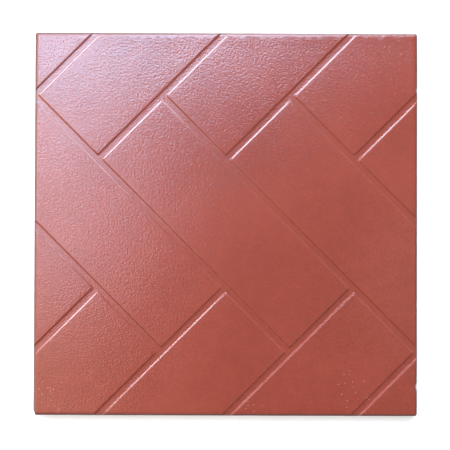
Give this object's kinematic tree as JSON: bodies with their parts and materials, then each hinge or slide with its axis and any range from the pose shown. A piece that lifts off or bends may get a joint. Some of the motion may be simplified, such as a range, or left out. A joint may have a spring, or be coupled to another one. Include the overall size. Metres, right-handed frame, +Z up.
{
  "type": "terracotta floor tile",
  "caption": "Square fired clay floor tile with a herringbone of false joints moulded in its face, softly rounded upper edges and a keyed back for the bed.",
  "frame": {"origin": "centre of the back, on the plane that the tile lies on", "axes": "+Z up through the patterned face, +X and +Y along two sides; the joints of the middle band fall towards +X"},
  "size_m": [0.3, 0.3, 0.02],
  "materials": {
    "terracotta": "satin moulded skin with a fine orange-peel grain, unglazed, matt on the sides and back"
  },
  "bodies": {
    "root": {"floor_tile": "terracotta"}
  },
  "joints": []
}
